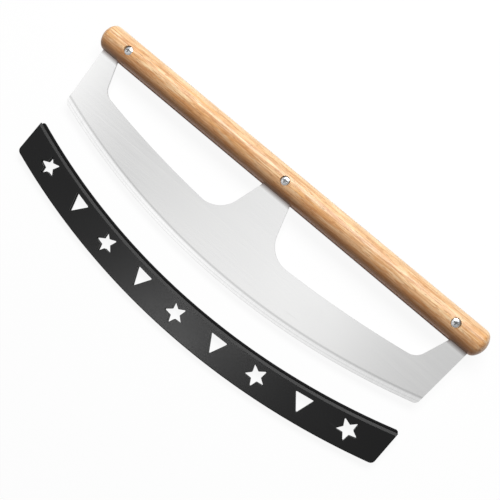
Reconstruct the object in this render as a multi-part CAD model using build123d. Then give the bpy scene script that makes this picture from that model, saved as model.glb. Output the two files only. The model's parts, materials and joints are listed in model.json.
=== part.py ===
# Rocking pizza knife and its slip-on blade sheath, which is taken off and lies beyond the cutting edge.
#
# Every piece is drawn flat first: the handle's axis is the X axis, the blade lies in the plane Z = 0 and
# reaches down along negative Y, and the screw heads face positive Z. The set is then leant about the
# handle until it lies on a table, on the handle's round side and on the sheath's lower rim.
# The origin is on the table, under the middle of the set's outline, with X along the handle, Y from the
# blade to the handle and Z up. Lengths are millimetres and angles are degrees.

import os
from math import asin, atan2, cos, degrees, hypot, radians, sin, sqrt, tan

from build123d import *

# Every cut runs this far past the surface that it opens.
overrun = 5.0

# Handle: a round wooden stick with rounded ends.
handle_length = 355.0
handle_diameter = 21.0
handle_end_rise = 7.0
handle_end_corner = 5.0

# Blade plate. Drops and heights are measured from the handle's underside.
blade_thickness = 1.5
blade_end_inset = 6.9
blade_corner_inset = 3.6
blade_corner_drop = 48.1
blade_corner_round = 4.0
blade_middle_drop = 73.8
bevel_width = 5.2
edge_thickness = 0.2

# Tang strip along the top of the plate, inside the handle's slot.
tang_rise = 5.5
tang_show = 0.6
slot_clearance = 0.1

# Finger gaps between the necks.
centre_neck_width = 25.2
centre_neck_lean = 17.2
end_neck_width = 14.7
end_neck_lean = 20.4
gap_middle_height = 37.5
gap_floor_radius = 820.0
gap_centre_fillet = 21.0
gap_end_fillet = 11.0

# Screws in front and barrel nuts behind, one pair near each end of the handle and one in its middle.
screw_end_distance = 26.8
head_diameter = 7.0
head_rim = 0.6
head_dome = 1.0
head_cover = 0.1
head_clearance = 0.15
recess_length = 3.6
recess_width = 0.9
recess_depth = 0.9
recess_taper = 12.0
barrel_diameter = 4.5
barrel_clearance = 0.1
barrel_tip_gap = 1.0
thread_diameter = 3.0
thread_clearance = 0.05
shank_length = 12.0
bore_end_gap = 1.0

# Sheath: two flat walls on a curved bottom, closed at both ends.
sheath_wall = 1.5
sheath_bottom_wall = 1.8
sheath_end_wall = 1.6
sheath_depth = 27.6
channel_clearance = 0.15
channel_bottom_clearance = 0.8
channel_end_clearance = 0.3
front_rim_step = 1.8
front_rim_bevel = 1.9
front_rim_bevel_depth = 0.8
back_rim_corner = 2.0
end_notch = 2.0
sheath_corner_radius = 4.0
sheath_edge_round = 0.8
sheath_gap = 23.9

# Cut-outs along the sheath, stars and triangles by turns with a star at each end.
motif_count = 9
motif_end_margin = 27.1
star_points = 5
star_radius = 8.7
star_inner_share = 0.45
star_round = 0.5
triangle_base = 14.6
triangle_height = 13.6
triangle_round = 0.6

# Sizes that follow from the ones above.
handle_radius = handle_diameter / 2
blade_half = handle_length / 2 - blade_end_inset
edge_half = blade_half - blade_corner_inset
edge_rise = blade_middle_drop - blade_corner_drop
edge_radius = (edge_half**2 + edge_rise**2) / (2 * edge_rise)
edge_depth = handle_radius + blade_middle_drop
edge_centre_y = edge_radius - edge_depth
screw_places = {"left": -1, "middle": 0, "right": 1}
screw_reach = handle_length / 2 - screw_end_distance
seat_height = handle_radius - head_cover - head_rim - head_dome
head_radius = head_diameter / 2
bore_radius = barrel_diameter / 2 + barrel_clearance
channel_half = blade_thickness / 2 + channel_clearance
sheath_half_thickness = channel_half + sheath_wall
channel_radius = edge_radius + channel_bottom_clearance
sheath_radius = channel_radius + sheath_bottom_wall
back_rim_radius = sheath_radius - sheath_depth
front_rim_radius = back_rim_radius + front_rim_step
sheath_travel = sheath_gap + edge_radius - back_rim_radius

# The set rests on the handle's side and on the rounding of the sheath's lower rim, both on the table.
rim_reach = sheath_travel + sheath_radius - edge_centre_y - sheath_edge_round
rim_drop = sheath_half_thickness - sheath_edge_round
rim_climb = handle_radius - sheath_edge_round
rest_angle = asin(rim_climb / hypot(rim_reach, rim_drop)) - atan2(rim_drop, rim_reach)
lean = degrees(rest_angle)
set_reach = rim_reach * cos(rest_angle) + rim_drop * sin(rest_angle) + sheath_edge_round
set_shift = (set_reach - handle_radius) / 2


def arc_y(radius, x):
    """Height, at x, of the arc of that radius about the cutting edge's centre."""
    return edge_centre_y - sqrt(radius**2 - x**2)


def ring_plane():
    """Half-plane through the edge's axis, on the side away from the blade, to draw turned sections on."""
    return Plane(origin=(0, edge_centre_y, 0), x_dir=(0, 1, 0), z_dir=(1, 0, 0))


def blade_outline():
    """Plate with its curved edge, rounded corners, leaning sides and straight tang, with no gaps cut."""
    corner_y = -handle_radius - blade_corner_drop
    edge = ThreePointArc((-edge_half, corner_y), (0, -edge_depth), (edge_half, corner_y))
    rest = Polyline(
        (edge_half, corner_y),
        (blade_half, -handle_radius),
        (blade_half, tang_rise),
        (-blade_half, tang_rise),
        (-blade_half, -handle_radius),
        (-edge_half, corner_y),
    )
    plate = make_face([edge, *rest.edges()])
    return fillet(plate.vertices().sort_by(Axis.Y)[:2], blade_corner_round)


def finger_gap():
    """Right-hand gap: leaning sides, a floor on a flat arc and two rounded lower corners."""
    top_y = -handle_radius - tang_show
    low_y = -edge_depth
    centre_x = centre_neck_width / 2
    end_x = blade_half - end_neck_width
    centre_slope = tan(radians(centre_neck_lean))
    end_slope = tan(radians(end_neck_lean))
    sides = Polyline(
        (centre_x + centre_slope * tang_show, top_y),
        (centre_x + centre_slope * (edge_depth - handle_radius), low_y),
        (end_x - end_slope * (edge_depth - handle_radius), low_y),
        (end_x - end_slope * tang_show, top_y),
        close=True,
    )
    floor_centre_y = gap_floor_radius - handle_radius - gap_middle_height
    gap = make_face(sides.edges()) & Pos(0, floor_centre_y) * Circle(gap_floor_radius)
    gap = fillet(gap.vertices().sort_by(Axis.Y)[0], gap_centre_fillet)
    end_corner = gap.vertices().sort_by(Axis.X)[-2]
    return fillet(end_corner, gap_end_fillet)


def bevel_ring():
    """Ring that grinds the front bevel off the plate along the cutting edge."""
    face_height = blade_thickness / 2
    tip_height = edge_thickness / 2
    slope = (face_height - tip_height) / bevel_width
    inner = edge_radius - bevel_width
    outer = edge_radius + overrun
    section = Polyline(
        (inner, face_height),
        (outer, tip_height - slope * overrun),
        (outer, face_height + overrun),
        (inner, face_height + overrun),
        close=True,
    )
    drawn = ring_plane() * make_face(section.edges())
    return revolve(drawn, axis=Axis((0, edge_centre_y, 0), (0, 0, 1)))


def cross_bores(radius, low, high):
    """One upright cylinder at each screw, from the low height to the high one."""
    bores = []
    for place in screw_places.values():
        bore = Cylinder(radius, high - low, align=(Align.CENTER, Align.CENTER, Align.MIN))
        bores.append(Pos(place * screw_reach, 0, low) * bore)
    return bores


def blade():
    """Steel plate with both gaps, the bevels and a hole for each barrel."""
    gap = finger_gap()
    plate = blade_outline() - gap - mirror(gap, Plane.YZ)
    plate = extrude(plate, amount=blade_thickness / 2, both=True)
    ring = bevel_ring()
    plate = plate - ring - mirror(ring, Plane.XY)
    return plate - cross_bores(bore_radius, -overrun, overrun)


def turned_stick():
    """Solid stick, each end a shallow crown that runs into the side through a tighter corner."""
    straight = handle_length / 2 - handle_end_rise
    corner_y = handle_radius - handle_end_corner
    spread = 2 * (handle_end_rise - handle_end_corner)
    crown_radius = (handle_end_rise**2 + corner_y**2 - handle_end_corner**2) / spread
    meeting = degrees(atan2(corner_y, crown_radius - handle_end_rise))
    crown_x = straight + handle_end_rise - crown_radius
    crown = CenterArc((crown_x, 0), crown_radius, 0, meeting)
    corner = CenterArc((straight, corner_y), handle_end_corner, meeting, 90 - meeting)
    side = Line((straight, handle_radius), (-straight, handle_radius))
    axis_line = Line((-handle_length / 2, 0), (handle_length / 2, 0))
    outline = [crown, corner, side, mirror(corner, Plane.YZ), mirror(crown, Plane.YZ), axis_line]
    return revolve(make_face(outline), axis=Axis.X)


def handle():
    """Stick with the tang's slot along its underside and stepped bores for the fasteners."""
    slot_top = tang_rise + slot_clearance
    slot = Box(
        2 * (blade_half + slot_clearance),
        slot_top + handle_radius + overrun,
        blade_thickness + 2 * slot_clearance,
        align=(Align.CENTER, Align.MAX, Align.CENTER),
    )
    stick = turned_stick() - Pos(0, slot_top, 0) * slot
    top = handle_radius + overrun
    stick = stick - cross_bores(bore_radius, -top, top)
    stick = stick - cross_bores(head_radius + head_clearance, seat_height, top)
    return stick - cross_bores(head_radius + head_clearance, -top, -seat_height)


def domed_head():
    """Round head that stands on its seat: a low rim under a shallow dome."""
    dome_radius = (head_radius**2 + head_dome**2) / (2 * head_dome)
    top = seat_height + head_rim + head_dome
    bar = Cylinder(head_radius, head_rim + head_dome, align=(Align.CENTER, Align.CENTER, Align.MIN))
    return Pos(0, 0, seat_height) * bar & Pos(0, 0, top - dome_radius) * Sphere(dome_radius)


def screw():
    """Domed cross-recess screw, standing in its seat in the front of the handle."""
    shank = Cylinder(
        thread_diameter / 2 - thread_clearance,
        shank_length,
        align=(Align.CENTER, Align.CENTER, Align.MAX),
    )
    cross = Rectangle(recess_length, recess_width) + Rectangle(recess_width, recess_length)
    top = seat_height + head_rim + head_dome
    recess = extrude(Pos(0, 0, top) * cross, amount=-recess_depth, taper=recess_taper)
    return domed_head() + Pos(0, 0, seat_height) * shank - recess


def barrel_nut():
    """Domed nut in the back of the handle, with a threaded barrel that reaches almost to the front seat."""
    tip = seat_height - barrel_tip_gap
    barrel = Cylinder(barrel_diameter / 2, tip + seat_height, align=(Align.CENTER, Align.CENTER, Align.MIN))
    bore_depth = shank_length - barrel_tip_gap + bore_end_gap
    bore = Cylinder(thread_diameter / 2, bore_depth + overrun, align=(Align.CENTER, Align.CENTER, Align.MIN))
    nut = mirror(domed_head(), Plane.XY) + Pos(0, 0, -seat_height) * barrel
    return nut - Pos(0, 0, tip - bore_depth) * bore


def band(half_length, rim_radius, bottom_radius, corner_radius):
    """Flat curved band between two arcs about the edge's centre, square ended, with round lower corners."""
    rim_y = arc_y(rim_radius, half_length)
    bottom_y = arc_y(bottom_radius, half_length)
    rim = ThreePointArc((-half_length, rim_y), (0, arc_y(rim_radius, 0)), (half_length, rim_y))
    bottom = ThreePointArc((half_length, bottom_y), (0, arc_y(bottom_radius, 0)), (-half_length, bottom_y))
    right = Line((half_length, rim_y), (half_length, bottom_y))
    left = Line((-half_length, bottom_y), (-half_length, rim_y))
    face = make_face([rim, right, bottom, left])
    return fillet(face.vertices().sort_by(Axis.Y)[:2], corner_radius)


def star():
    """Star with one point towards the sheath's bottom, its points and notches slightly rounded."""
    corners = []
    for step in range(2 * star_points):
        reach = star_radius * (star_inner_share if step % 2 else 1)
        turn = radians(step * 180 / star_points)
        corners.append((reach * sin(turn), -reach * cos(turn)))
    shape = make_face(Polyline(*corners, close=True).edges())
    return fillet(shape.vertices(), star_round)


def triangle():
    """Triangle with its base towards the sheath's mouth, centred on its height, with rounded corners."""
    high = triangle_height / 2
    half = triangle_base / 2
    shape = make_face(Polyline((-half, high), (0, -high), (half, high), close=True).edges())
    return fillet(shape.vertices(), triangle_round)


def motif_cuts(outer_half):
    """Cut-outs spread evenly along the middle of the sheath's walls, each turned to follow the curve."""
    middle_radius = sheath_radius - sheath_depth / 2
    last_turn = asin((outer_half - motif_end_margin) / middle_radius)
    cuts = []
    for number in range(motif_count):
        turn = last_turn * (2 * number / (motif_count - 1) - 1)
        shape = triangle() if number % 2 else star()
        prism = extrude(shape, amount=sheath_half_thickness + overrun, both=True)
        place = Pos(middle_radius * sin(turn), edge_centre_y - middle_radius * cos(turn), 0)
        cuts.append(place * Rot(0, 0, degrees(turn)) * prism)
    return cuts


def sheath_mouth_half():
    """Half-length of the channel: the plate's half-width where the seated sheath's mouth crosses it."""
    side_slope = blade_corner_inset / blade_corner_drop
    mouth_depth = -arc_y(front_rim_radius, edge_half) - handle_radius
    return blade_half - side_slope * mouth_depth + channel_end_clearance


def arc_of(face, radius):
    """The edge of the face that is an arc of that radius, or the nearest to it."""
    arcs = face.edges().filter_by(GeomType.CIRCLE)
    return arcs.sort_by(lambda edge: abs(edge.radius - radius))[0]


def sheath():
    """Moulded guard, drawn seated on the edge: front wall lower than the back wall, ends notched."""
    inner_half = sheath_mouth_half()
    outer_half = inner_half + sheath_end_wall
    back = band(outer_half, back_rim_radius, sheath_radius, sheath_corner_radius)
    back = fillet(back.vertices().sort_by(Axis.Y)[-2:], back_rim_corner)
    front = band(outer_half, front_rim_radius, sheath_radius, sheath_corner_radius)
    back_slab = Pos(0, 0, -sheath_half_thickness) * extrude(back, amount=sheath_wall)
    front_slab = Pos(0, 0, -channel_half) * extrude(front, amount=sheath_wall + 2 * channel_half)
    front_face = front_slab.faces().sort_by(Axis.Z)[-1]
    front_rim = arc_of(front_face, front_rim_radius)
    front_slab = chamfer(front_rim, front_rim_bevel, front_rim_bevel_depth, reference=front_face)
    shell = back_slab + front_slab
    shell = fillet(shell.faces().filter_by(Axis.Z).sort_by(Axis.Z)[0].edges(), sheath_edge_round)
    front_face = shell.faces().filter_by(Axis.Z).sort_by(Axis.Z)[-1]
    bevel_line = arc_of(front_face, front_rim_radius + front_rim_bevel)
    shell = fillet([edge for edge in front_face.edges() if not edge.is_same(bevel_line)], sheath_edge_round)
    channel_corner_radius = sheath_corner_radius - sheath_end_wall
    channel = band(inner_half, back_rim_radius - overrun, channel_radius, channel_corner_radius)
    shell = shell - extrude(channel, amount=channel_half, both=True)
    notch = Box(
        2 * (outer_half + overrun),
        end_notch + sheath_depth,
        2 * channel_half,
        align=(Align.CENTER, Align.MIN, Align.CENTER),
    )
    shell = shell - Pos(0, arc_y(front_rim_radius, outer_half) - end_notch, 0) * notch
    return shell - motif_cuts(outer_half)


def laid(piece):
    """Leans a piece about the handle's axis and sets it on the table, over the origin."""
    return Pos(0, set_shift, handle_radius) * Rot(lean, 0, 0) * piece


os.makedirs("parts", exist_ok=True)
pieces = {"handle": handle(), "blade": blade(), "sheath": Pos(0, -sheath_travel, 0) * sheath()}
for side, place in screw_places.items():
    pieces[f"screw_{side}"] = Pos(place * screw_reach, 0, 0) * screw()
    pieces[f"barrel_nut_{side}"] = Pos(place * screw_reach, 0, 0) * barrel_nut()
for node, piece in pieces.items():
    export_step(laid(piece), f"parts/{node}.step")
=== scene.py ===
# Looks of a rocking pizza knife and of its sheath, which is taken off and lies beyond the cutting edge.
# Lengths are metres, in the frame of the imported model.

import json
from math import asin, atan2, ceil, cos, pi, radians, sin, sqrt, tan

import bmesh
import bpy
from mathutils import Matrix, Vector


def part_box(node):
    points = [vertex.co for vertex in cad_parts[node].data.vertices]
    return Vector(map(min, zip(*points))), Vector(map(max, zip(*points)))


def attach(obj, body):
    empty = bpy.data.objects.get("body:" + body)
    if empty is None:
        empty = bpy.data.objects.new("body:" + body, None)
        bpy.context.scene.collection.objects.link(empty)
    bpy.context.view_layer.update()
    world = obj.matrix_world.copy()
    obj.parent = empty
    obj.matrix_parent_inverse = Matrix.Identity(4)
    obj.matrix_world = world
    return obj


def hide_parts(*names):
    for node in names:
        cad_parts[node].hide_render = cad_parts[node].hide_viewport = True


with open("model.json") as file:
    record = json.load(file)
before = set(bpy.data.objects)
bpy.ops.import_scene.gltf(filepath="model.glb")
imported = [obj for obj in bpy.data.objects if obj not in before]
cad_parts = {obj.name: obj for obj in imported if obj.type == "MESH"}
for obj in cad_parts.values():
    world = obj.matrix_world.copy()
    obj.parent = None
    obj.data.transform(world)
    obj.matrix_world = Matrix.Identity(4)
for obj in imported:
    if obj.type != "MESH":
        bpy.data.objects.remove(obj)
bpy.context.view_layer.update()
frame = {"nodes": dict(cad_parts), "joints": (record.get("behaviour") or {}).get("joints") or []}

# Blade: a stamped and satin polished stainless plate, 1.5 mm thick, with its curved edge ground on both
# faces. Its necks and a strip along its top are closed up in the handle's slot, where the barrels of the
# fasteners run through three bores. Drops and heights are measured from the handle's underside.
plate_half = 0.00075
plate_round = 0.00007
plate_round_steps = 2
blade_half = 0.1706
edge_half = 0.1670
corner_drop = 0.0481
middle_drop = 0.0738
corner_round = 0.004
grind_width = 0.0052
edge_half_thickness = 0.0001
tang_rise = 0.0055
tang_show = 0.0006
centre_neck_half = 0.0126
centre_neck_lean = radians(17.2)
end_neck_width = 0.0147
end_neck_lean = radians(20.4)
gap_height = 0.0375
gap_floor_ring = 0.820
gap_centre_round = 0.021
gap_end_round = 0.011
barrel_bore = 0.00235

# Fineness of the meshes, and how far a cutter stands past what it cuts.
bore_sides = 48
arc_step = 0.0024
round_step = radians(5)
weld = 0.000002
coplanar = radians(0.04)
most_corners = 4
sharp_edge = radians(32)
past = 0.001
cutter_reach_share = 1.2

# The plate's faces take their finish from how far they tilt: flat, ground, rolled rim and sheared rim.
ground_finish = 1
flat_tilt = radians(3)
ground_tilt = radians(11)
rolled_tilt = radians(80)

# Marks in the steel: their size along each axis, the values that show them, roughness, bump and colours.
noise_span = (0.3, 0.7)
noise_sum_span = (0.7, 1.3)
drawn_size = (0.12, 0.0010, 0.0010)
drawn_bump = (0.02, 0.00002)
broad_size = (0.060, 0.030, 0.030)
scratch_size = (0.030, 0.0022, 0.0022)
scratch_span = (0.70, 0.76)
scratch_roughness = 0.03
plate_roughness = (0.19, 0.23)
grinding_size = (0.0012, 0.018, 0.018)
grinding_span = (0.35, 0.65)
grinding_bump = (0.05, 0.00002)
ground_roughness = (0.22, 0.28)
shear_size = (0.0007, 0.0007, 0.011)
shear_bump = (0.15, 0.00005)
rim_roughness = (0.42, 0.58)
grind_line_half = 0.0013
grind_line_share = 0.65
hone_place_share = 0.58
hone_line_half = 0.0005
hone_line_share = 0.25
edge_line_half = 0.0006
edge_line_share = 0.4
# Painted shade and reflection of the handle where the plate meets the wood: its span across and its share
# at the necks.
painted_handle_shade_span = (-0.0138, -0.0109)
neck_fade = 0.0012
painted_handle_shade_neck_share = 0.78
plate_steel_light = (0.88, 0.88, 0.875, 1)
plate_steel_dark = (0.85, 0.85, 0.85, 1)
ground_steel_light = (0.98, 0.98, 0.98, 1)
ground_steel_dark = (0.90, 0.90, 0.90, 1)
burred_steel = (0.48, 0.48, 0.48, 1)
sheared_steel_light = (0.84, 0.84, 0.84, 1)
sheared_steel_dark = (0.62, 0.62, 0.62, 1)
rolled_steel_light = (0.88, 0.88, 0.88, 1)
rolled_steel_dark = (0.70, 0.70, 0.70, 1)
# The colour of the painted shade and reflection of the handle along the wood.
painted_handle_shade_and_reflection = (0.13, 0.085, 0.072, 1)

# In the flat frame X runs along the handle, Y from the edge to the handle and Z out of the plate's front.
# The knife is laid from there onto the table, where it leans because its handle is thicker than its plate.
handle_low, handle_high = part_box("handle")
handle_centre = (handle_low + handle_high) / 2
handle_radius = (handle_high.z - handle_low.z) / 2
up_blade = Vector(frame["joints"][0]["axis"])
lean = atan2(up_blade.z, up_blade.y)
laid = Matrix.Translation(handle_centre) @ Matrix.Rotation(lean, 4, "X")
flat = laid.inverted()
edge_rise = middle_drop - corner_drop
edge_ring = (edge_half**2 + edge_rise**2) / (2 * edge_rise)
edge_centre = Vector((0, edge_ring - handle_radius - middle_drop))
grind_line = edge_ring - grind_width
screw_nodes = ("screw_left", "screw_middle", "screw_right")
screw_places = [(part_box(node)[0].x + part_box(node)[1].x) / 2 for node in screw_nodes]

# Lines along the cutting edge: distance from its centre, half width and strength.
grind_mark = (grind_line, grind_line_half, grind_line_share)
hone_mark = (grind_line + hone_place_share * grind_width, hone_line_half, hone_line_share)
edge_mark = (edge_ring, edge_line_half, edge_line_share)


class Finish:
    """The nodes of a material, or of the surroundings, while they are put together."""

    def __init__(self, owner, shader="Principled BSDF"):
        owner.use_nodes = True
        self.tree = owner.node_tree
        self.shader = self.tree.nodes[shader]

    def feed(self, node, inputs):
        """Sets each named input of the node, or links it where the value is another node's output."""
        for key, value in inputs.items():
            if isinstance(value, bpy.types.NodeSocket):
                self.tree.links.new(value, node.inputs[key])
            else:
                node.inputs[key].default_value = value

    def add(self, kind, inputs, **settings):
        """A new node with these settings and inputs."""
        node = self.tree.nodes.new("ShaderNode" + kind)
        for key, value in settings.items():
            setattr(node, key, value)
        self.feed(node, inputs)
        return node

    def flat_place(self, stretch=(1, 1, 1)):
        """Where a point lies in the flat frame, in metres times the stretch along each axis."""
        place = self.add("TexCoord", {}).outputs["Object"]
        turned_back = self.add("Mapping", {
            "Vector": place, "Location": handle_centre, "Rotation": (lean, 0, 0),
        }, vector_type="TEXTURE").outputs[0]
        return self.add("Mapping", {"Vector": turned_back, "Scale": stretch}).outputs[0]

    def marks(self, size, detail=3, rough=0.5, bend=0):
        """Soft random values between 0 and 1, in marks of about this size along each axis."""
        place = self.flat_place([1 / side for side in size])
        return self.add("TexNoise", {
            "Vector": place, "Scale": 1.0, "Detail": detail, "Roughness": rough, "Distortion": bend,
        }).outputs["Fac"]

    def spread(self, value, low, high, to_low=0, to_high=1):
        """The value's span from low to high, carried over to another span and held within it."""
        return self.add("MapRange", {
            "Value": value, "From Min": low, "From Max": high, "To Min": to_low, "To Max": to_high,
        }).outputs[0]

    def mix(self, share, first, second, blend="MIX"):
        """The first colour with that share of the second in it."""
        node = self.tree.nodes.new("ShaderNodeMix")
        node.data_type = "RGBA"
        node.blend_type = blend
        self.feed(node, {0: share, 6: first, 7: second})
        return node.outputs[2]

    def streaked(self, colour, marks, span, share, streak):
        """The colour with streaks of another where the marks pass the span, up to that share."""
        return self.mix(self.spread(marks, *span, 0, share), colour, streak)

    def math(self, operation, first, second=0):
        """One operation on a value, or on two."""
        return self.add("Math", {0: first, 1: second}, operation=operation).outputs[0]

    def bump(self, height, strength, depth):
        """A surface normal that follows the height."""
        return self.add("Bump", {"Height": height, "Strength": strength, "Distance": depth}).outputs[0]


def turned(centre, first, turn, steps):
    """Points on an arc about the centre, from the first point through the turn."""
    spoke = first - centre
    return [centre + Matrix.Rotation(turn * step / steps, 2) @ spoke for step in range(steps + 1)]


def turn_between(one, other):
    """Signed turn from one direction to the other."""
    return atan2(one.x * other.y - one.y * other.x, one.dot(other))


def along_ring(centre, first, last):
    """Points on a wide ring about the centre, from the first point to the last."""
    turn = turn_between(first - centre, last - centre)
    return turned(centre, first, turn, ceil(abs(turn) * (first - centre).length / arc_step))


def rounded_corner(start, along, centre, ring, rounding):
    """Round between a straight side, from start along its direction, and the inside of a ring.

    A negative rounding lies outside the ring. The points run from the side to the ring.
    """
    along = along.normalized()
    inward = Vector((-along.y, along.x))
    if inward.dot(centre - start) < 0:
        inward.negate()
    offset = start + inward * abs(rounding) - centre
    half = offset.dot(along)
    reach = sqrt(half**2 - offset.length_squared + (ring - rounding)**2) - half
    middle = centre + offset + along * reach
    first = middle - inward * abs(rounding)
    last = centre + (middle - centre).normalized() * ring
    turn = turn_between(first - middle, last - middle)
    return turned(middle, first, turn, ceil(abs(turn) / round_step))


def mirrored(points):
    """The same points on the other side of the middle, in turned order."""
    return [Vector((-point.x, point.y)) for point in reversed(points)]


def bore_outline(along, radius):
    """A bore through the handle's axis, at this place along it."""
    return turned(Vector((along, 0)), Vector((along + radius, 0)), 2 * pi, bore_sides)[:-1]


def added(name, skin):
    """The closed surface as a new object, with its faces turned outwards."""
    bmesh.ops.remove_doubles(skin, verts=skin.verts, dist=weld)
    bmesh.ops.recalc_face_normals(skin, faces=skin.faces)
    mesh = bpy.data.meshes.new(name)
    skin.to_mesh(mesh)
    skin.free()
    piece = bpy.data.objects.new(name, mesh)
    bpy.context.scene.collection.objects.link(piece)
    return piece


def slab(name, outlines, half, rounding, round_steps):
    """A flat slab between closed outlines in the flat frame, with its rims rounded."""
    drawing = bpy.data.curves.new(name, "CURVE")
    drawing.dimensions = "2D"
    drawing.fill_mode = "BOTH"
    drawing.extrude = half - rounding
    drawing.bevel_depth = rounding
    drawing.bevel_resolution = round_steps
    drawing.offset = -rounding
    for outline in outlines:
        spline = drawing.splines.new("POLY")
        spline.points.add(len(outline) - 1)
        for point, place in zip(spline.points, outline):
            point.co = (place.x, place.y, 0, 1)
        spline.use_cyclic_u = True
    holder = bpy.data.objects.new(name, drawing)
    bpy.context.scene.collection.objects.link(holder)
    evaluated = holder.evaluated_get(bpy.context.evaluated_depsgraph_get())
    skin = bmesh.new()
    skin.from_mesh(bpy.data.meshes.new_from_object(evaluated))
    bpy.data.objects.remove(holder)
    return added(name, skin)


def stacked(name, layers):
    """A solid between closed loops of corners, each loop joined to the next."""
    skin = bmesh.new()
    rings = [[skin.verts.new(corner) for corner in layer] for layer in layers]
    for one, other in zip(rings, rings[1:]):
        for side in range(len(one)):
            after = (side + 1) % len(one)
            skin.faces.new((one[side], one[after], other[after], other[side]))
    skin.faces.new(rings[0][::-1])
    skin.faces.new(rings[-1])
    return added(name, skin)


def swept_ring(section):
    """A bar with this section of distances and heights, bent about the centre of the cutting edge."""
    half_turn = asin((blade_half + arc_step) / (edge_ring - grind_width)) * cutter_reach_share
    steps = ceil(2 * half_turn * edge_ring / arc_step)
    layers = []
    for step in range(steps + 1):
        turn = half_turn * (2 * step / steps - 1)
        layers.append([
            (edge_centre.x + distance * sin(turn), edge_centre.y - distance * cos(turn), height)
            for distance, height in section
        ])
    return stacked("ring_cutter", layers)


def settled(piece):
    """Writes the piece's modifiers into its mesh."""
    evaluated = piece.evaluated_get(bpy.context.evaluated_depsgraph_get())
    result = bpy.data.meshes.new_from_object(evaluated)
    piece.modifiers.clear()
    piece.data = result


def cut(piece, tools):
    """Takes every tool's volume out of the piece, and the tools out of the scene."""
    for tool in tools:
        step = piece.modifiers.new("cut", "BOOLEAN")
        step.operation = "DIFFERENCE"
        step.solver = "EXACT"
        step.object = tool
    settled(piece)
    for tool in tools:
        bpy.data.objects.remove(tool)


def cleaned(piece, place):
    """Joins doubled corners, splits flat faces into even triangles, and lays the piece in its place."""
    skin = bmesh.new()
    skin.from_mesh(piece.data)
    bmesh.ops.remove_doubles(skin, verts=skin.verts, dist=weld)
    bmesh.ops.dissolve_limit(skin, angle_limit=coplanar, verts=skin.verts, edges=skin.edges)
    many_cornered = [face for face in skin.faces if len(face.verts) > most_corners]
    bmesh.ops.triangulate(skin, faces=many_cornered, ngon_method="BEAUTY")
    skin.transform(place)
    skin.to_mesh(piece.data)
    skin.free()


def shaded(piece, sharp=sharp_edge, crisp=None):
    """Smooth shading that breaks at sharp edges and all round one finish, and keeps flat faces flat."""
    skin = bmesh.new()
    skin.from_mesh(piece.data)
    for face in skin.faces:
        face.smooth = True
    for edge in skin.edges:
        finishes = {face.material_index for face in edge.link_faces}
        border = crisp in finishes and len(finishes) > 1
        edge.smooth = not border and edge.calc_face_angle(0) < sharp
    skin.to_mesh(piece.data)
    skin.free()
    weighting = piece.modifiers.new("flat_faces_first", "WEIGHTED_NORMAL")
    weighting.keep_sharp = True
    weighting.mode = "FACE_AREA"
    settled(piece)
    piece.data.name = piece.name


def plate_outline():
    """Curved edge, rounded lower corners, leaning sides and straight tang."""
    shoulder = Vector((blade_half, -handle_radius))
    corner = Vector((edge_half, -handle_radius - corner_drop))
    rounding = rounded_corner(shoulder, corner - shoulder, edge_centre, edge_ring, corner_round)
    lowest = edge_centre - Vector((0, edge_ring))
    edge = along_ring(edge_centre, lowest, rounding[-1])
    right = edge[1:] + rounding[-2::-1] + [shoulder, Vector((blade_half, tang_rise))]
    return edge[:1] + right + mirrored(right)


def gap_outline():
    """Right-hand finger gap: leaning sides, a floor on a flat arc and two rounded lower corners."""
    centre = Vector((0, gap_floor_ring - handle_radius - gap_height))
    top = -handle_radius - tang_show
    inner = Vector((centre_neck_half + tan(centre_neck_lean) * tang_show, top))
    outer = Vector((blade_half - end_neck_width - tan(end_neck_lean) * tang_show, top))
    down_inner = Vector((sin(centre_neck_lean), -cos(centre_neck_lean)))
    down_outer = Vector((-sin(end_neck_lean), -cos(end_neck_lean)))
    near = rounded_corner(inner, down_inner, centre, gap_floor_ring, gap_centre_round)
    far = rounded_corner(outer, down_outer, centre, gap_floor_ring, gap_end_round)
    floor = along_ring(centre, near[-1], far[-1])
    return [inner] + near + floor[1:-1] + far[::-1] + [outer]


def grinder(side):
    """The ring that is ground off one face along the cutting edge."""
    slope = (plate_half - edge_half_thickness) / grind_width
    top = plate_half + 2 * past
    section = [
        (grind_line - past, plate_half + slope * past),
        (edge_ring + past, edge_half_thickness - slope * past),
        (edge_ring + past, top),
        (grind_line - past, top),
    ]
    return swept_ring([(distance, side * height) for distance, height in section])


def line_at(steel, distance, half, share):
    """A soft line along the cutting edge, at this distance from its centre."""
    from_centre = steel.add("VectorMath", {
        0: steel.flat_place((1, 1, 0)), 1: (edge_centre.x, edge_centre.y, 0),
    }, operation="DISTANCE").outputs["Value"]
    off_line = steel.math("ABSOLUTE", steel.math("SUBTRACT", from_centre, distance))
    return steel.spread(off_line, 0, half, share, 0)


def by_neck(finish, aside):
    """1 at the three necks and 0 between them, by the distance from the middle."""
    end_neck_start = blade_half - end_neck_width
    centre_neck = finish.spread(aside, centre_neck_half - neck_fade, centre_neck_half + tang_show, 1, 0)
    end_neck = finish.spread(aside, end_neck_start - tang_show, end_neck_start + neck_fade)
    return finish.math("MAXIMUM", centre_neck, end_neck)


def painted_handle_shade_near_wood(steel):
    """Share of painted shade and reflection of the handle: all of the strip, less of the necks."""
    where = steel.add("SeparateXYZ", {"Vector": steel.flat_place()}).outputs
    aside = steel.math("ABSOLUTE", where["X"])
    most = steel.spread(by_neck(steel, aside), 0, 1, 1, painted_handle_shade_neck_share)
    return steel.math("MULTIPLY", most, steel.spread(where["Y"], *painted_handle_shade_span))


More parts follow.
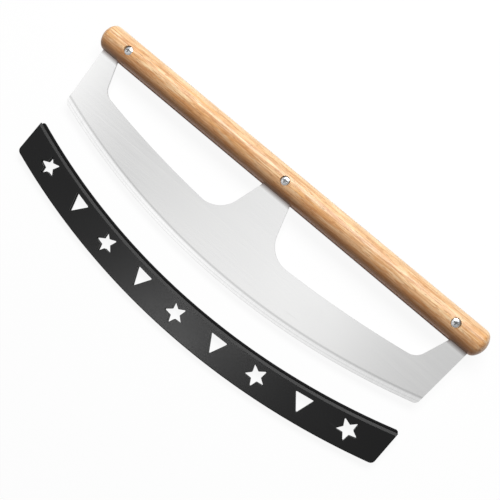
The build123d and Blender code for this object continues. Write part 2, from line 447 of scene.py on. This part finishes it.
def plate_steel():
    """Satin plate, drawn lengthwise, a dark burr at the grind, and painted shade and reflection by the
    wood.
    """
    material = bpy.data.materials.new("plate_steel")
    steel = Finish(material)
    drawn = steel.marks(drawn_size, detail=4, rough=0.6)
    broad = steel.marks(broad_size, detail=2)
    scratch = steel.spread(steel.marks(scratch_size, detail=1, rough=0.4, bend=1.5), *scratch_span)
    rough = steel.spread(steel.math("ADD", drawn, broad), *noise_sum_span, *plate_roughness)
    colour = steel.mix(steel.spread(drawn, *noise_span), plate_steel_dark, plate_steel_light)
    colour = steel.mix(line_at(steel, *grind_mark), colour, burred_steel)
    # The base colour takes painted shade and reflection of the handle where the plate meets the wood.
    steel.feed(steel.shader, {
        "Base Color": steel.mix(painted_handle_shade_near_wood(steel), colour, painted_handle_shade_and_reflection),
        "Metallic": 1.0,
        "Roughness": steel.math("ADD", rough, steel.math("MULTIPLY", scratch, scratch_roughness)),
        "Normal": steel.bump(drawn, *drawn_bump),
    })
    return material


def ground_steel():
    """Fresh grinding across the edge, brighter than the plate, with a finer hone along its outer part."""
    material = bpy.data.materials.new("ground_steel")
    steel = Finish(material)
    across = steel.marks(grinding_size, detail=4, rough=0.65)
    colour = steel.mix(steel.spread(across, *grinding_span), ground_steel_dark, ground_steel_light)
    for mark in (grind_mark, hone_mark, edge_mark):
        colour = steel.mix(line_at(steel, *mark), colour, burred_steel)
    steel.feed(steel.shader, {
        "Base Color": colour,
        "Metallic": 1.0,
        "Roughness": steel.spread(across, *noise_span, *ground_roughness),
        "Normal": steel.bump(across, *grinding_bump),
    })
    return material


def stamped_steel(name, dark, light):
    """Stamped rim of the plate: dull, with fine upright shear marks."""
    material = bpy.data.materials.new(name)
    steel = Finish(material)
    shear = steel.marks(shear_size, rough=0.6)
    steel.feed(steel.shader, {
        # The rim takes the same painted shade and reflection of the handle along the wood.
        "Base Color": steel.mix(painted_handle_shade_near_wood(steel), steel.mix(shear, dark, light), painted_handle_shade_and_reflection),
        "Metallic": 1.0,
        "Roughness": steel.spread(shear, *noise_span, *rim_roughness),
        "Normal": steel.bump(shear, *shear_bump),
    })
    return material


gap = gap_outline()
blade = slab(
    "blade_plate",
    [plate_outline(), gap, mirrored(gap)] + [bore_outline(along, barrel_bore) for along in screw_places],
    plate_half, plate_round, plate_round_steps,
)
cut(blade, [grinder(1), grinder(-1)])
cleaned(blade, laid)
rolled_steel = stamped_steel("rolled_rim_steel", rolled_steel_dark, rolled_steel_light)
sheared_steel = stamped_steel("sheared_edge_steel", sheared_steel_dark, sheared_steel_light)
for finish in (plate_steel(), ground_steel(), rolled_steel, sheared_steel):
    blade.data.materials.append(finish)
front = laid.to_3x3() @ Vector((0, 0, 1))
for face in blade.data.polygons:
    tilt = front.angle(face.normal)
    tilt = min(tilt, pi - tilt)
    face.material_index = sum(tilt > least for least in (flat_tilt, ground_tilt, rolled_tilt))
shaded(blade, crisp=ground_finish)
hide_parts("blade")
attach(blade, "knife")

# Handle: a turned stick of warm light hardwood, oiled and sanded smooth, with rounded ends.
# A slot along its underside takes the plate's strip, and three cross bores take the fasteners.
handle_end_rise = 0.007
handle_end_corner = 0.005
handle_sides = 144
handle_bays = 90
end_steps = 14
slot_clearance = 0.0001
bore_half = 0.00365
bore_floor = 0.0088
wood_round = 0.0003
wood_round_steps = 3
handle_half = (handle_high.x - handle_low.x) / 2

# The wood's yearly layers, patches, streaks, fibres, ticks and pores: the size of each, the values that
# show it and its share. Then its painted shade towards the slot, its painted shade where the necks go in,
# its painted highlight along the back and its colours.
pith_aside = 0.030
pith_below = 0.019
year_width = 0.0027
year_sway_size = (0.070, 0.020, 0.020)
year_sway = 1.6
faint_year_share = 0.2
late_span = (0.45, 0.95)
late_share = 0.42
patch_size = (0.050, 0.008, 0.008)
patch_span = (0.42, 0.60)
amber_size = (0.020, 0.0042, 0.0042)
amber_span = (0.50, 0.66)
amber_share = 0.55
thread_size = (0.030, 0.0016, 0.0016)
thread_span = (0.46, 0.60)
thread_share = 0.70
pale_size = (0.020, 0.0014, 0.0014)
pale_span = (0.48, 0.64)
pale_share = 0.68
fibre_size = (0.022, 0.0009, 0.0009)
fibre_span = (0.48, 0.68)
fibre_share = 0.58
fibre_height_share = 0.5
tick_size = (0.0080, 0.0012, 0.0012)
tick_span = (0.60, 0.68)
tick_share = 0.55
pore_size = (0.0042, 0.00055, 0.00055)
pore_span = (0.66, 0.72)
pore_share = 0.55
wood_bump = (0.35, 0.00015)
wood_roughness = (0.34, 0.50)
# Painted shade on the underside towards the slot, where less light falls: its share and where it ends.
painted_slot_shade_share = 0.85
painted_slot_shade_end_share = 0.02
# Painted shade on the wood just over the necks: its span across and its share.
painted_neck_shade_line = (-0.0104, -0.0086)
painted_neck_shade_share = 0.75
# Painted highlight along the back, the side that faces the light: its share.
painted_back_highlight_share = 0.5
wood_cream = (0.96, 0.76, 0.48, 1)
wood_pale = (0.93, 0.61, 0.33, 1)
wood_warm = (0.82, 0.455, 0.19, 1)
wood_amber = (0.84, 0.44, 0.15, 1)
wood_late = (0.49, 0.20, 0.065, 1)
wood_pore = (0.20, 0.08, 0.03, 1)
# Painted shade for the underside towards the slot.
painted_slot_shade = (0.58, 0.21, 0.06, 1)
# Painted shade on the wood where the necks go in.
painted_neck_shade = (0.09, 0.035, 0.014, 1)
# Painted highlight along the back.
painted_back_highlight = (0.95, 0.74, 0.48, 1)


def end_profile():
    """Distance from the end face's rim and radius, from the crown's middle out to the straight side."""
    corner_height = handle_radius - handle_end_corner
    spread = 2 * (handle_end_rise - handle_end_corner)
    crown = (handle_end_rise**2 + corner_height**2 - handle_end_corner**2) / spread
    meeting = atan2(corner_height, crown - handle_end_rise)
    points = []
    for step in range(1, end_steps + 1):
        turn = meeting * step / end_steps
        points.append((handle_half - crown + crown * cos(turn), crown * sin(turn)))
    for step in range(1, end_steps + 1):
        turn = meeting + (pi / 2 - meeting) * step / end_steps
        points.append((
            handle_half - handle_end_rise + handle_end_corner * cos(turn),
            corner_height + handle_end_corner * sin(turn),
        ))
    return points


def turned_stick():
    """The whole stick before it is slotted and bored, in the flat frame."""
    right_end = end_profile()
    straight = handle_half - handle_end_rise
    middle = [(straight * (1 - 2 * bay / handle_bays), handle_radius) for bay in range(1, handle_bays)]
    left_end = [(-along, radius) for along, radius in reversed(right_end)]
    turns = [2 * pi * side / handle_sides for side in range(handle_sides)]
    return stacked("handle_stick", [
        [(along, radius * cos(turn), radius * sin(turn)) for turn in turns]
        for along, radius in right_end + middle + left_end
    ])


def straight_cutter(name, outline, heights):
    """A cutter with this outline in the flat frame, from one height to the other."""
    return stacked(name, [[(point.x, point.y, height) for point in outline] for height in heights])


def oblong(half_length, low, high):
    """Corners of a rectangle about the middle of the handle's length."""
    return [Vector(corner) for corner in (
        (-half_length, low), (half_length, low), (half_length, high), (-half_length, high),
    )]


def slot_cutter():
    """The slot along the underside, for the plate's strip and its necks."""
    outline = oblong(blade_half + slot_clearance, -handle_radius - past, tang_rise + slot_clearance)
    half = plate_half + slot_clearance
    return straight_cutter("slot_cutter", outline, (-half, half))


def counterbore_cutter(along, side):
    """The counterbore that takes one fastener's head."""
    heights = (side * bore_floor, side * (handle_radius + past))
    return straight_cutter("bore_cutter", bore_outline(along, bore_half), heights)


def eased(skin, rims, width, steps):
    """Rounds these edges of the surface a little."""
    bmesh.ops.bevel(
        skin, geom=rims, offset=width, segments=steps, profile=0.5, affect="EDGES", clamp_overlap=True,
    )


def late_wood(wood):
    """Share of late wood in the yearly layers about the pith, of which some are fainter than others."""
    from_pith = wood.add("VectorMath", {
        0: wood.flat_place((0, 1, 1)), 1: (0, pith_aside, -pith_below),
    }, operation="DISTANCE").outputs["Value"]
    sway = wood.math("MULTIPLY", wood.marks(year_sway_size, detail=2), year_sway)
    years = wood.math("ADD", wood.math("DIVIDE", from_pith, year_width), sway)
    strength = wood.add("TexWhiteNoise", {"W": wood.math("FLOOR", years)}, noise_dimensions="1D")
    strong = wood.spread(strength.outputs["Value"], 0, 1, faint_year_share, 1)
    late = wood.math("MULTIPLY", wood.spread(wood.math("FRACT", years), *late_span), strong)
    return wood.math("MULTIPLY", late, late_share)


def toned(wood, colour):
    """The colour with painted shade at the slot and the necks, and a painted highlight along the back."""
    where = wood.add("SeparateXYZ", {"Vector": wood.flat_place()}).outputs
    shade_end = -painted_slot_shade_end_share * handle_radius
    # Painted shade on the underside, towards the slot.
    painted_slot_shade_mask = wood.spread(where["Y"], -handle_radius, shade_end, painted_slot_shade_share, 0)
    colour = wood.mix(painted_slot_shade_mask, colour, painted_slot_shade)
    aside = wood.math("ABSOLUTE", where["X"])
    along_blade = wood.spread(aside, blade_half - neck_fade, blade_half, 1, 0)
    at_neck = wood.math("MULTIPLY", by_neck(wood, aside), along_blade)
    # Painted shade on the wood just over the necks.
    painted_neck_shade_mask = wood.math("MULTIPLY", wood.spread(where["Y"], *painted_neck_shade_line, painted_neck_shade_share, 0), at_neck)
    colour = wood.mix(painted_neck_shade_mask, colour, painted_neck_shade)
    # Painted highlight along the back, which faces the light.
    painted_back_highlight_mask = wood.spread(where["Y"], handle_radius / 2, handle_radius, 0, painted_back_highlight_share)
    return wood.mix(painted_back_highlight_mask, colour, painted_back_highlight)


def hardwood():
    """Straight-grained oiled wood: patches, yearly layers, threads, fibres, short ticks and pores."""
    material = bpy.data.materials.new("oiled_hardwood")
    wood = Finish(material)
    patches = wood.marks(patch_size, rough=0.55, bend=0.3)
    amber = wood.marks(amber_size, rough=0.55, bend=0.4)
    threads = wood.marks(thread_size, detail=4, rough=0.65, bend=0.2)
    pale = wood.marks(pale_size, rough=0.6, bend=0.2)
    fibres = wood.marks(fibre_size, detail=4, rough=0.65)
    ticks = wood.marks(tick_size, detail=2, bend=0.3)
    pores = wood.spread(wood.marks(pore_size, detail=1, rough=0.4), *pore_span)
    colour = wood.streaked(wood_pale, patches, patch_span, 1, wood_warm)
    colour = wood.streaked(colour, amber, amber_span, amber_share, wood_amber)
    colour = wood.mix(late_wood(wood), colour, wood_late)
    colour = wood.streaked(colour, threads, thread_span, thread_share, wood_late)
    colour = wood.streaked(colour, pale, pale_span, pale_share, wood_cream)
    colour = wood.streaked(colour, fibres, fibre_span, fibre_share, wood_late)
    colour = wood.streaked(colour, ticks, tick_span, tick_share, wood_late)
    colour = wood.mix(wood.math("MULTIPLY", pores, pore_share), colour, wood_pore)
    height = wood.math("SUBTRACT", wood.math("MULTIPLY", fibres, fibre_height_share), pores)
    wood.feed(wood.shader, {
        "Base Color": toned(wood, colour),
        "Roughness": wood.spread(wood.math("ADD", threads, fibres), *noise_sum_span, *wood_roughness),
        "Specular IOR Level": 0.15,
        "Coat Weight": 0.6,
        "Coat Roughness": 0.36,
        "Normal": wood.bump(height, *wood_bump),
    })
    return material


stick = turned_stick()
counterbores = [counterbore_cutter(along, side) for along in screw_places for side in (1, -1)]
cut(stick, [slot_cutter()] + counterbores)
skin = bmesh.new()
skin.from_mesh(stick.data)
bmesh.ops.remove_doubles(skin, verts=skin.verts, dist=weld)
rims = [edge for edge in skin.edges if edge.calc_face_angle(0) > sharp_edge]
eased(skin, rims, wood_round, wood_round_steps)
skin.to_mesh(stick.data)
skin.free()
stick.data.transform(laid)
stick.data.materials.append(hardwood())
shaded(stick)
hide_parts("handle")
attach(stick, "knife")

# Screws and barrel nuts: three pairs of small plated steel fasteners that close on each other.
# The screws have a cross recess and show in front; the nuts are plain domes and show behind.
fastener_round = 0.00012
fastener_round_steps = 2
screw_head_radius = 0.0035
screw_rim = 0.0006
screw_dome = 0.0010
recess_reach = 0.0027
recess_depth_least = 0.00012
haze_size = (0.0011, 0.0011, 0.0011)
haze_span = (0.35, 0.65)
haze_bump = (0.05, 0.00005)
plated_roughness = (0.14, 0.24)
plated_light = (0.66, 0.67, 0.68, 1)
plated_dark = (0.48, 0.49, 0.50, 1)
# Painted shade inside the screws' cross recesses: a darker copy of the plating.
recess_painted_shade_light = (0.34, 0.34, 0.34, 1)
recess_painted_shade_dark = (0.16, 0.16, 0.16, 1)


def on_head(edge):
    """Whether an edge lies on a fastener's head, outside the handle's middle."""
    return all(abs((flat @ corner.co).z) > bore_floor for corner in edge.verts)


def in_recess(face, along):
    """Whether a face of a screw lies inside its cross recess, under the dome."""
    centre = flat @ face.center
    aside = Vector((centre.x - along, centre.y)).length
    crown = bore_floor + screw_rim + screw_dome * (1 - (aside / screw_head_radius)**2)
    return aside < recess_reach and bore_floor < centre.z < crown - recess_depth_least


def eased_fastener(node):
    """The node's surface as a new piece, with small round edges on its head."""
    skin = bmesh.new()
    skin.from_mesh(frame["nodes"][node].data)
    bmesh.ops.remove_doubles(skin, verts=skin.verts, dist=weld)
    bmesh.ops.dissolve_limit(skin, angle_limit=coplanar, verts=skin.verts, edges=skin.edges)
    rims = [edge for edge in skin.edges if edge.calc_face_angle(0) > sharp_edge and on_head(edge)]
    eased(skin, rims, fastener_round, fastener_round_steps)
    return added(node + "_plated", skin)


def plated_steel(name, dark, light):
    """Bright plating with a little haze."""
    material = bpy.data.materials.new(name)
    steel = Finish(material)
    haze = steel.marks(haze_size, rough=0.6)
    steel.feed(steel.shader, {
        "Base Color": steel.mix(steel.spread(haze, *haze_span), dark, light),
        "Metallic": 1.0,
        "Roughness": steel.spread(haze, *noise_span, *plated_roughness),
        "Normal": steel.bump(haze, *haze_bump),
    })
    return material


fasteners = []
plating = plated_steel("plated_steel", plated_dark, plated_light)
# Painted shade inside the cross recesses, as a darker copy of the plating.
recess_painted_shade_steel = plated_steel("recess_painted_shade_steel", recess_painted_shade_dark, recess_painted_shade_light)
for kind in ("screw", "barrel_nut"):
    for place, along in zip(("left", "middle", "right"), screw_places):
        node = f"{kind}_{place}"
        fastener = eased_fastener(node)
        fastener.data.materials.append(plating)
        fastener.data.materials.append(recess_painted_shade_steel)
        for face in fastener.data.polygons:
            face.material_index = int(in_recess(face, along))
        shaded(fastener)
        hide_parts(node)
        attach(fastener, "knife")
        fasteners.append(fastener)

# Sheath: one moulding of satin black plastic, two thin walls on a curved bottom that spring onto the blade.
# Stars and triangles are moulded through both walls, and its mouth faces the blade. The front wall ends
# lower than the back wall, in a bevel that leads the blade in, and the ends are notched.
channel_half = 0.0009
sheath_half = 0.0024
sheath_inner_half = 0.16912
sheath_outer_half = 0.17072
sheath_depth = 0.0276
channel_bottom = 0.0008
sheath_bottom = 0.0018
mouth_step = 0.0018
mouth_bevel = 0.0019
mouth_bevel_depth = 0.0008
back_corner = 0.002
low_corner = 0.004
inner_corner = 0.0024
end_notch = 0.002
sheath_round = 0.0008
sheath_round_steps = 8
sheath_sharp = radians(15)
motif_count = 9
motif_end_margin = 0.0271
motif_ease = 0.00018
motif_round_step = radians(12)
star_points = 5
star_radius = 0.0087
star_inner_share = 0.45
star_round = 0.0005
triangle_half = 0.0073
triangle_height = 0.0136
triangle_round = 0.0006
pull_size = (0.0006, 0.020, 0.0006)
pull_bump = (0.1, 0.00004)
channel_roughness = (0.62, 0.78)
grain_size = (0.0004, 0.0004, 0.0004)
grain_bump = (0.05, 0.00004)
flow_size = (0.055, 0.028, 0.028)
sheath_roughness = (0.29, 0.35)
rub_size = (0.011, 0.0014, 0.0014)
rub_span = (0.70, 0.80)
rub_share = 0.5
deep_plastic = (0.002, 0.002, 0.002, 1)
black_plastic = (0.006, 0.006, 0.0062, 1)
worn_plastic = (0.014, 0.014, 0.0145, 1)
sheath_ring = edge_ring + channel_bottom + sheath_bottom
back_rim = sheath_ring - sheath_depth
front_rim = back_rim + mouth_step
travel = frame["joints"][0]["range_m"][1]


def band_outline(half_length, rim, low_ring, low_rounding, rim_rounding=0):
    """Curved band between two arcs about the edge's centre, square ended, with rounded corners."""
    down = Vector((0, -1))
    side = Vector((half_length, edge_centre.y - rim))
    low = rounded_corner(side, down, edge_centre, low_ring, low_rounding)
    low_arc = along_ring(edge_centre, edge_centre - Vector((0, low_ring)), low[-1])
    right = low_arc[1:] + low[-2::-1]
    if rim_rounding:
        high = rounded_corner(side, down, edge_centre, rim, -rim_rounding)
    else:
        high = [Vector((half_length, edge_centre.y - sqrt(rim**2 - half_length**2)))]
    rim_arc = along_ring(edge_centre, high[-1], edge_centre - Vector((0, rim)))
    right += high + rim_arc[1:]
    return low_arc[:1] + right + mirrored(right[:-1])


def in_turn(points):
    """Each point of a closed outline between the one before it and the one after it."""
    return zip(points[-1:] + points[:-1], points, points[1:] + points[:1])


def rounded_polygon(corners, rounding):
    """The closed outline through these corners, each of them rounded."""
    outline = []
    for before, corner, after in in_turn(corners):
        back = (before - corner).normalized()
        ahead = (after - corner).normalized()
        half = back.angle(ahead) / 2
        centre = corner + (back + ahead).normalized() * rounding / sin(half)
        first = corner + back * rounding / tan(half)
        last = corner + ahead * rounding / tan(half)
        turn = turn_between(first - centre, last - centre)
        outline += turned(centre, first, turn, ceil(abs(turn) / motif_round_step))
    return outline


def star_outline():
    """Five-pointed star with one point towards the sheath's bottom."""
    corners = []
    for step in range(2 * star_points):
        reach = star_radius * (star_inner_share if step % 2 else 1)
        corners.append(Matrix.Rotation(pi * step / star_points, 2) @ Vector((0, -reach)))
    return rounded_polygon(corners, star_round)


def triangle_outline():
    """Triangle with its base towards the sheath's mouth."""
    high = triangle_height / 2
    corners = [Vector((-triangle_half, high)), Vector((0, -high)), Vector((triangle_half, high))]
    return rounded_polygon(corners, triangle_round)


def grown(outline, by):
    """The outline moved outwards by this much, for corners that run anticlockwise."""
    moved = []
    for before, point, after in in_turn(outline):
        along = (after - before).normalized()
        moved.append(point + Vector((along.y, -along.x)) * by)
    return moved


def motif_cutter(outline, turn):
    """A cut-out through both walls, its rims eased, turned to follow the sheath's curve."""
    placing = Matrix.Rotation(turn, 2)
    centre = edge_centre - placing @ Vector((0, sheath_ring - sheath_depth / 2))
    layers = []
    for by, height in (
        (2 * motif_ease, -sheath_half - motif_ease), (0, motif_ease - sheath_half),
        (0, sheath_half - motif_ease), (2 * motif_ease, sheath_half + motif_ease),
    ):
        placed = [centre + placing @ point for point in grown(outline, by)]
        layers.append([(point.x, point.y, height) for point in placed])
    return stacked("motif_cutter", layers)


def mouth_cutter():
    """Takes the front wall down to its lower rim and bevels that rim."""
    slope = mouth_bevel_depth / mouth_bevel
    over = 2 * past
    return swept_ring([
        (back_rim - 2 * over, -channel_half),
        (front_rim, -channel_half),
        (front_rim, sheath_half - mouth_bevel_depth),
        (front_rim + mouth_bevel + over, sheath_half + slope * over),
        (back_rim - 2 * over, sheath_half + slope * over),
    ])


def channel_cutter():
    """The gap between the walls, open at the mouth."""
    rim = back_rim - sheath_depth
    outline = band_outline(sheath_inner_half, rim, edge_ring + channel_bottom, inner_corner)
    return straight_cutter("channel_cutter", outline, (-channel_half, channel_half))


def notch_cutter():
    """Opens the upper part of both end walls."""
    low = edge_centre.y - sqrt(front_rim**2 - sheath_outer_half**2) - end_notch
    outline = oblong(sheath_outer_half + past, low, low + sheath_depth)
    return straight_cutter("notch_cutter", outline, (-channel_half, channel_half))


def in_channel(face):
    """Whether a face of the laid sheath belongs to its channel."""
    centre = flat @ face.center + Vector((0, travel, 0))
    from_centre = (centre.xy - edge_centre).length
    deep = from_centre < edge_ring + 2 * channel_bottom and abs(centre.x) < blade_half
    return deep and abs(centre.z) < channel_half + motif_ease / 2


def moulded_plastic():
    """Fine moulded grain with slow changes of gloss and a few pale rubbed marks."""
    material = bpy.data.materials.new("black_moulded_plastic")
    plastic = Finish(material)
    grain = plastic.marks(grain_size, rough=0.6)
    flow = plastic.marks(flow_size)
    rubs = plastic.marks(rub_size, detail=2, bend=0.8)
    plastic.feed(plastic.shader, {
        "Base Color": plastic.streaked(black_plastic, rubs, rub_span, rub_share, worn_plastic),
        "Roughness": plastic.spread(plastic.math("ADD", grain, flow), *noise_sum_span, *sheath_roughness),
        "Specular IOR Level": 0.12,
        "Normal": plastic.bump(grain, *grain_bump),
    })
    return material


def inner_plastic():
    """The channel's faces as the mould's core left them: matte, with drawn marks along the pull."""
    material = bpy.data.materials.new("matte_core_plastic")
    plastic = Finish(material)
    drawn = plastic.marks(pull_size, rough=0.6)
    plastic.feed(plastic.shader, {
        "Base Color": plastic.mix(drawn, deep_plastic, black_plastic),
        "Roughness": plastic.spread(drawn, *noise_span, *channel_roughness),
        "Specular IOR Level": 0.12,
        "Normal": plastic.bump(drawn, *pull_bump),
    })
    return material


sheath = slab(
    "sheath_moulding",
    [band_outline(sheath_outer_half, back_rim, sheath_ring, low_corner, back_corner)],
    sheath_half, sheath_round, sheath_round_steps,
)
last_turn = asin((sheath_outer_half - motif_end_margin) / (sheath_ring - sheath_depth / 2))
motifs = []
for number in range(motif_count):
    turn = last_turn * (2 * number / (motif_count - 1) - 1)
    motifs.append(motif_cutter(triangle_outline() if number % 2 else star_outline(), turn))
cut(sheath, [mouth_cutter(), channel_cutter(), notch_cutter()] + motifs)
cleaned(sheath, laid @ Matrix.Translation((0, -travel, 0)))
for finish in (moulded_plastic(), inner_plastic()):
    sheath.data.materials.append(finish)
for face in sheath.data.polygons:
    face.material_index = int(in_channel(face))
shaded(sheath, sharp=sheath_sharp)
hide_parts("sheath")
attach(sheath, "sheath")

# Table: a plain pale board under the set, wide enough for every view.
# It shows white to the camera and in reflections, keeps a soft shadow, and throws little light back up.
table_half = 3.0
table_bounce = (0.22, 0.22, 0.22, 1)
table_shadow_share = 0.08
white = (1, 1, 1, 1)

table_mesh = bpy.data.meshes.new("table")
corners = [(point.x, point.y, 0) for point in oblong(table_half, -table_half, table_half)]
table_mesh.from_pydata(corners, [], [(0, 1, 2, 3)])
table = bpy.data.objects.new("table", table_mesh)
bpy.context.scene.collection.objects.link(table)
pale_board = bpy.data.materials.new("pale_board")
board = Finish(pale_board)
seen = board.add("LightPath", {})
board.feed(board.shader, {
    "Base Color": board.mix(seen.outputs["Is Camera Ray"], table_bounce, white),
    "Roughness": 0.9,
    "Specular IOR Level": 0.0,
})
glow = board.add("Emission", {"Color": white, "Strength": 1.0})
straight = board.math("MAXIMUM", seen.outputs["Is Camera Ray"], seen.outputs["Is Glossy Ray"])
share = board.math("MULTIPLY", straight, 1 - table_shadow_share)
both = board.add("MixShader", {0: share, 1: board.shader.outputs[0], 2: glow.outputs[0]})
board.feed(board.tree.nodes["Material Output"], {"Surface": both.outputs[0]})
table_mesh.materials.append(pale_board)

# Studio: one large soft light beyond the handle, flagged off the polished blade, a narrow one that only the
# sheath catches, and pale surroundings. Their broad soft bands, as of panels by a table, show in the steel.
key_place = (-0.1, 0.78, 0.94)
key_size = (1.0, 0.5)
key_power = 17.6
strip_place = (-0.125, -0.276, 0.75)
strip_size = (0.07, 0.40)
strip_power = 3.0
fill_light = (0.14, 0.14, 0.14, 1)

# The bands lie side by side along X and dim far out along Y, and low ones take their place towards the
# sheath. Spans are parts of a unit direction, and each stop is a place across and a brightness.
near_span = (-0.85, -0.5)
near_share = 0.45
far_span = (0.15, 0.55)
far_share = 0.62
low_panel_span = (-0.17, -0.27)
low_stops = (
    (0.22, 0.97), (0.30, 0.92), (0.36, 1.20), (0.42, 0.96), (0.54, 0.94), (0.60, 0.72), (0.80, 0.60),
)
band_stops = (
    (0.05, 0.50), (0.20, 1.4), (0.265, 1.35), (0.30, 0.66), (0.345, 0.70), (0.38, 0.93),
    (0.42, 0.93), (0.48, 1.12), (0.505, 1.09), (0.535, 0.68), (0.58, 0.58), (0.68, 0.80), (0.80, 0.5),
)


def soft_light(name, place, size, power, pieces):
    """An area light that faces the middle of the set and lights these pieces alone."""
    lamp = bpy.data.lights.new(name, "AREA")
    lamp.shape = "RECTANGLE"
    lamp.size, lamp.size_y = size
    lamp.energy = power
    holder = bpy.data.objects.new(name, lamp)
    holder.location = place
    holder.rotation_euler = (-Vector(place)).to_track_quat("-Z", "Y").to_euler()
    bpy.context.scene.collection.objects.link(holder)
    lit = bpy.data.collections.new("lit_by_" + name)
    for piece in pieces:
        lit.objects.link(piece)
    holder.light_linking.receiver_collection = lit


def banded(sky, across, stops):
    """Pale bands side by side, each stop with its place from 0 to 1 and its brightness."""
    ramp = sky.add("ValToRGB", {"Fac": sky.spread(across, -1, 1)})
    for position, _ in stops[1:-1]:
        ramp.color_ramp.elements.new(position)
    for element, (position, level) in zip(ramp.color_ramp.elements, stops):
        element.position = position
        element.color = (level, level, level, 1)
    return ramp.outputs[0]


soft_light("key_light", key_place, key_size, key_power, [stick, sheath, table] + fasteners)
soft_light("strip_light", strip_place, strip_size, strip_power, [sheath])
world = bpy.data.worlds.new("studio")
bpy.context.scene.world = world
sky = Finish(world, "Background")
ray = sky.add("LightPath", {})
toward = sky.add("SeparateXYZ", {"Vector": sky.add("TexCoord", {}).outputs["Generated"]}).outputs
bands = banded(sky, toward["X"], band_stops)
low_bands = banded(sky, toward["X"], low_stops)
seen_in_steel = sky.mix(sky.spread(toward["Y"], *low_panel_span), bands, low_bands)
near_side = sky.spread(toward["Y"], *near_span, near_share, 1)
far_side = sky.spread(toward["Y"], *far_span, 1, far_share)
seen_in_steel = sky.mix(1, seen_in_steel, sky.math("MULTIPLY", near_side, far_side), "MULTIPLY")
lighting = sky.mix(ray.outputs["Is Glossy Ray"], fill_light, seen_in_steel)
sky.feed(sky.shader, {"Color": sky.mix(ray.outputs["Is Camera Ray"], lighting, white)})

# Camera: above the set and a little to the right of its middle, turned so that the handle runs down to the
# right of the picture. Its angles, distance and lens were fitted to the photograph.
view_distance = 0.520
view_swing = radians(8.45)
view_tip = radians(1.35)
view_roll = radians(40.43)
view_aside = 0.0257
view_up = 0.0475
nearest_seen = 0.01
picture_width_pixels = 500
focal_pixels = 730.7
film_width_mm = 36.0

lens = bpy.data.cameras.new("camera")
lens.sensor_width = film_width_mm
lens.lens = film_width_mm * focal_pixels / picture_width_pixels
lens.clip_start = nearest_seen
camera = bpy.data.objects.new("camera", lens)
bpy.context.scene.collection.objects.link(camera)
swing = Matrix.Rotation(view_swing, 4, "Y")
tip = Matrix.Rotation(-view_tip, 4, "X")
roll = Matrix.Rotation(view_roll, 4, "Z")
turn = swing @ tip @ roll
camera.matrix_world = laid @ turn @ Matrix.Translation((-view_aside, -view_up, view_distance))
bpy.context.scene.camera = camera
bpy.context.scene.view_settings.view_transform = "Standard"
